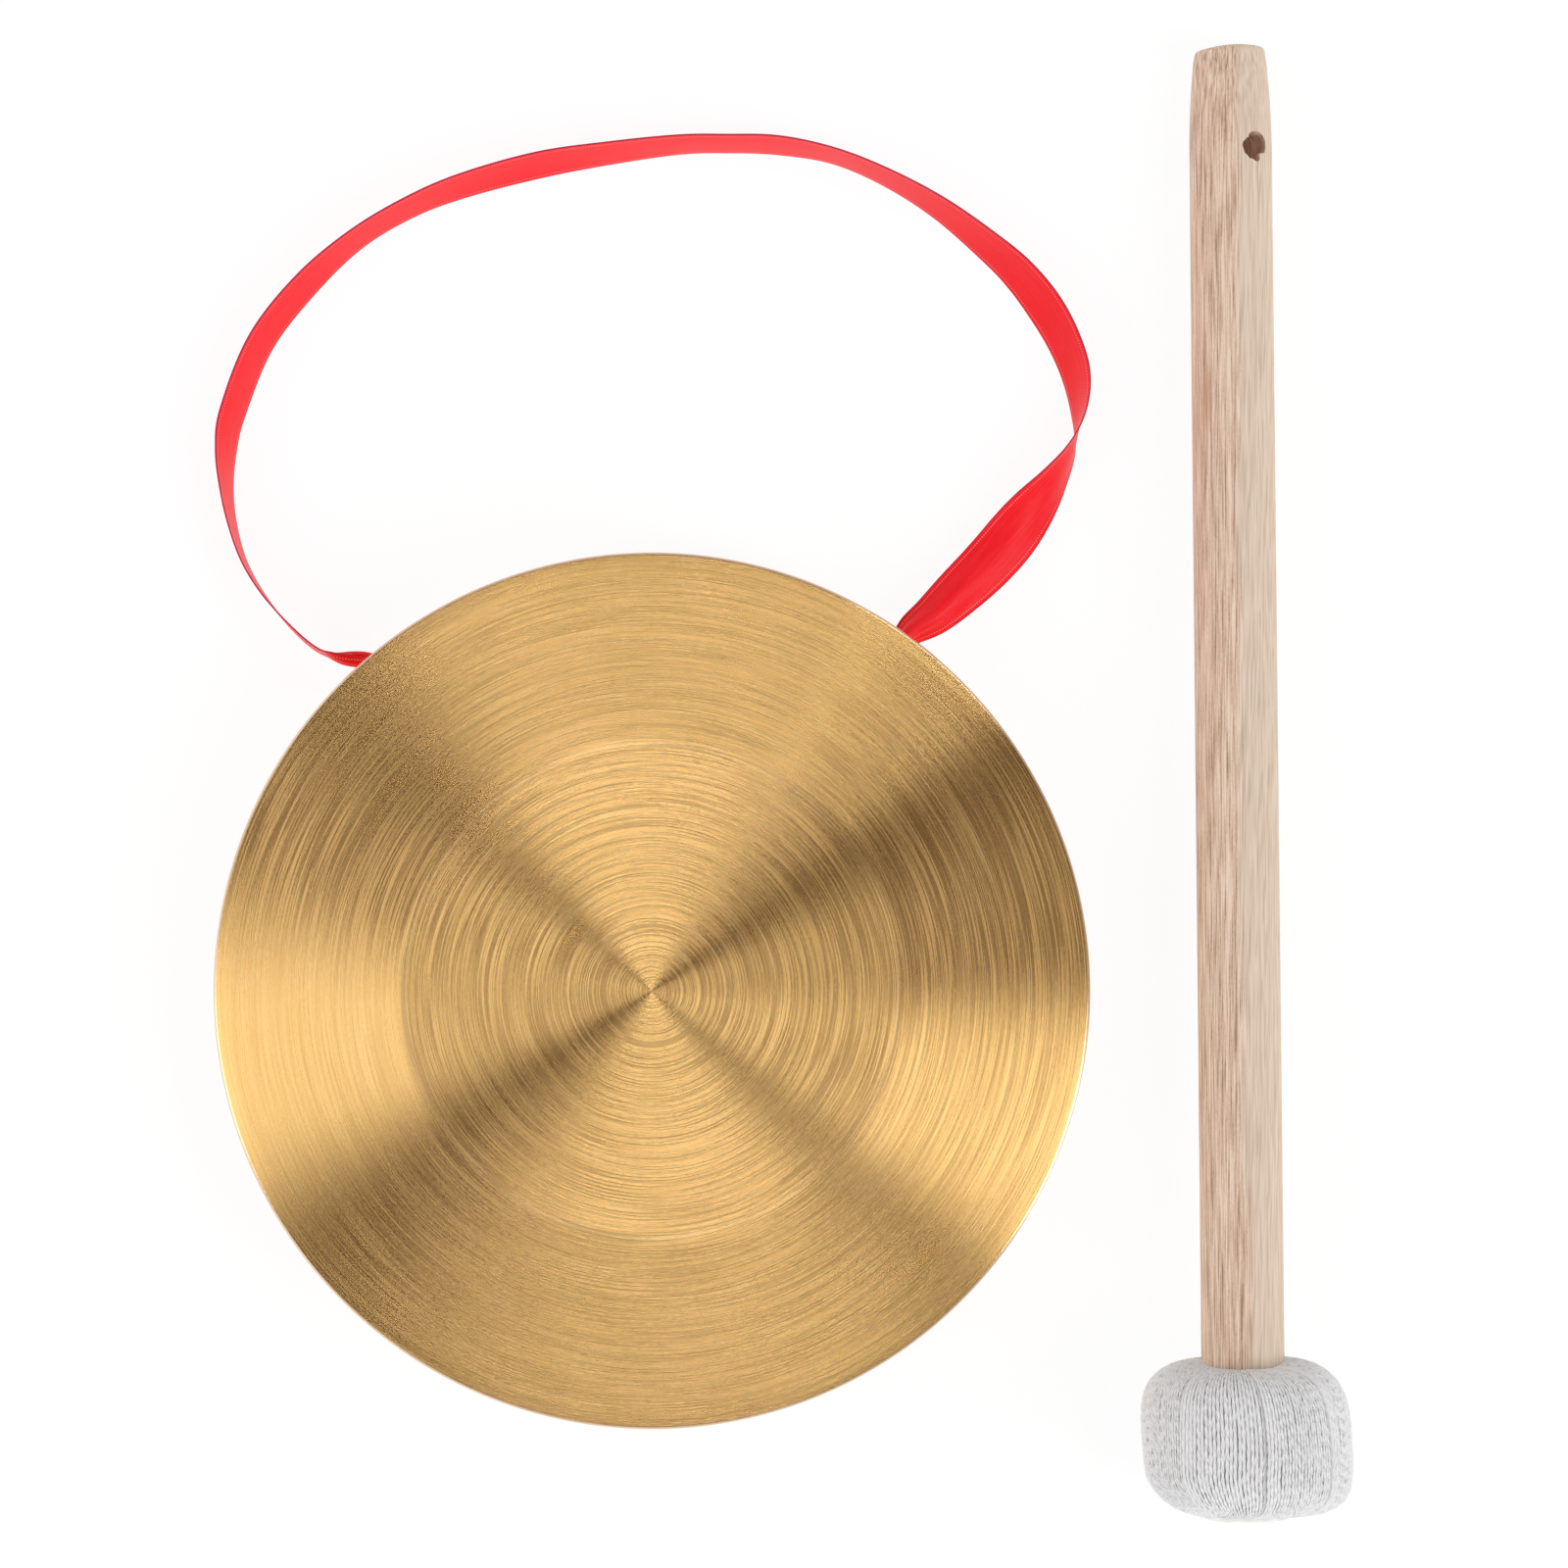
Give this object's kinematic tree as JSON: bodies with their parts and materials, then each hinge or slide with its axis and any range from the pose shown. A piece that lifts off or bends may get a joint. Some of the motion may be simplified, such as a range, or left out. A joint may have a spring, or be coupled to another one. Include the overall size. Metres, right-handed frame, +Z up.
{
  "type": "hand gong",
  "caption": "Shallow spun brass hand gong with a red ribbon hanging loop knotted through its rim, and a wooden mallet with a round yarn-wound head.",
  "frame": {"origin": "on the table, in the middle of the box round the gong and the mallet", "axes": "+Z up out of the gong's face, +Y along the mallet towards its grip end and from the gong towards its ribbon loop, +X from the gong to the mallet"},
  "size_m": [0.2015, 0.262, 0.0377],
  "materials": {
    "brass": "circular brushed",
    "ribbon": "satin weave",
    "handle_wood": "raw sanded",
    "core_wood": "raw turned",
    "yarn": "twisted cotton",
    "glue": "dried clear"
  },
  "bodies": {
    "gong": {"gong_bowl": "brass", "ribbon_knot_left": "ribbon", "ribbon_knot_right": "ribbon"},
    "ribbon": {"ribbon_loop": "ribbon"},
    "mallet": {"mallet_handle": "handle_wood", "mallet_core": "core_wood", "mallet_winding": "yarn", "head_end_seal": "glue"}
  },
  "joints": [
    {"name": "ribbon_swing", "type": "hinge", "parent": "gong", "child": "ribbon", "pos_m": [-0.02513, 0.0255, 0.00868], "axis": [0.9995, 0.0332, 0], "range_deg": [0, 110]},
    {"name": "mallet_lift", "type": "slide", "parent": "gong", "child": "mallet", "axis": [0, 0, 1], "range_m": [0, 0.25]}
  ]
}
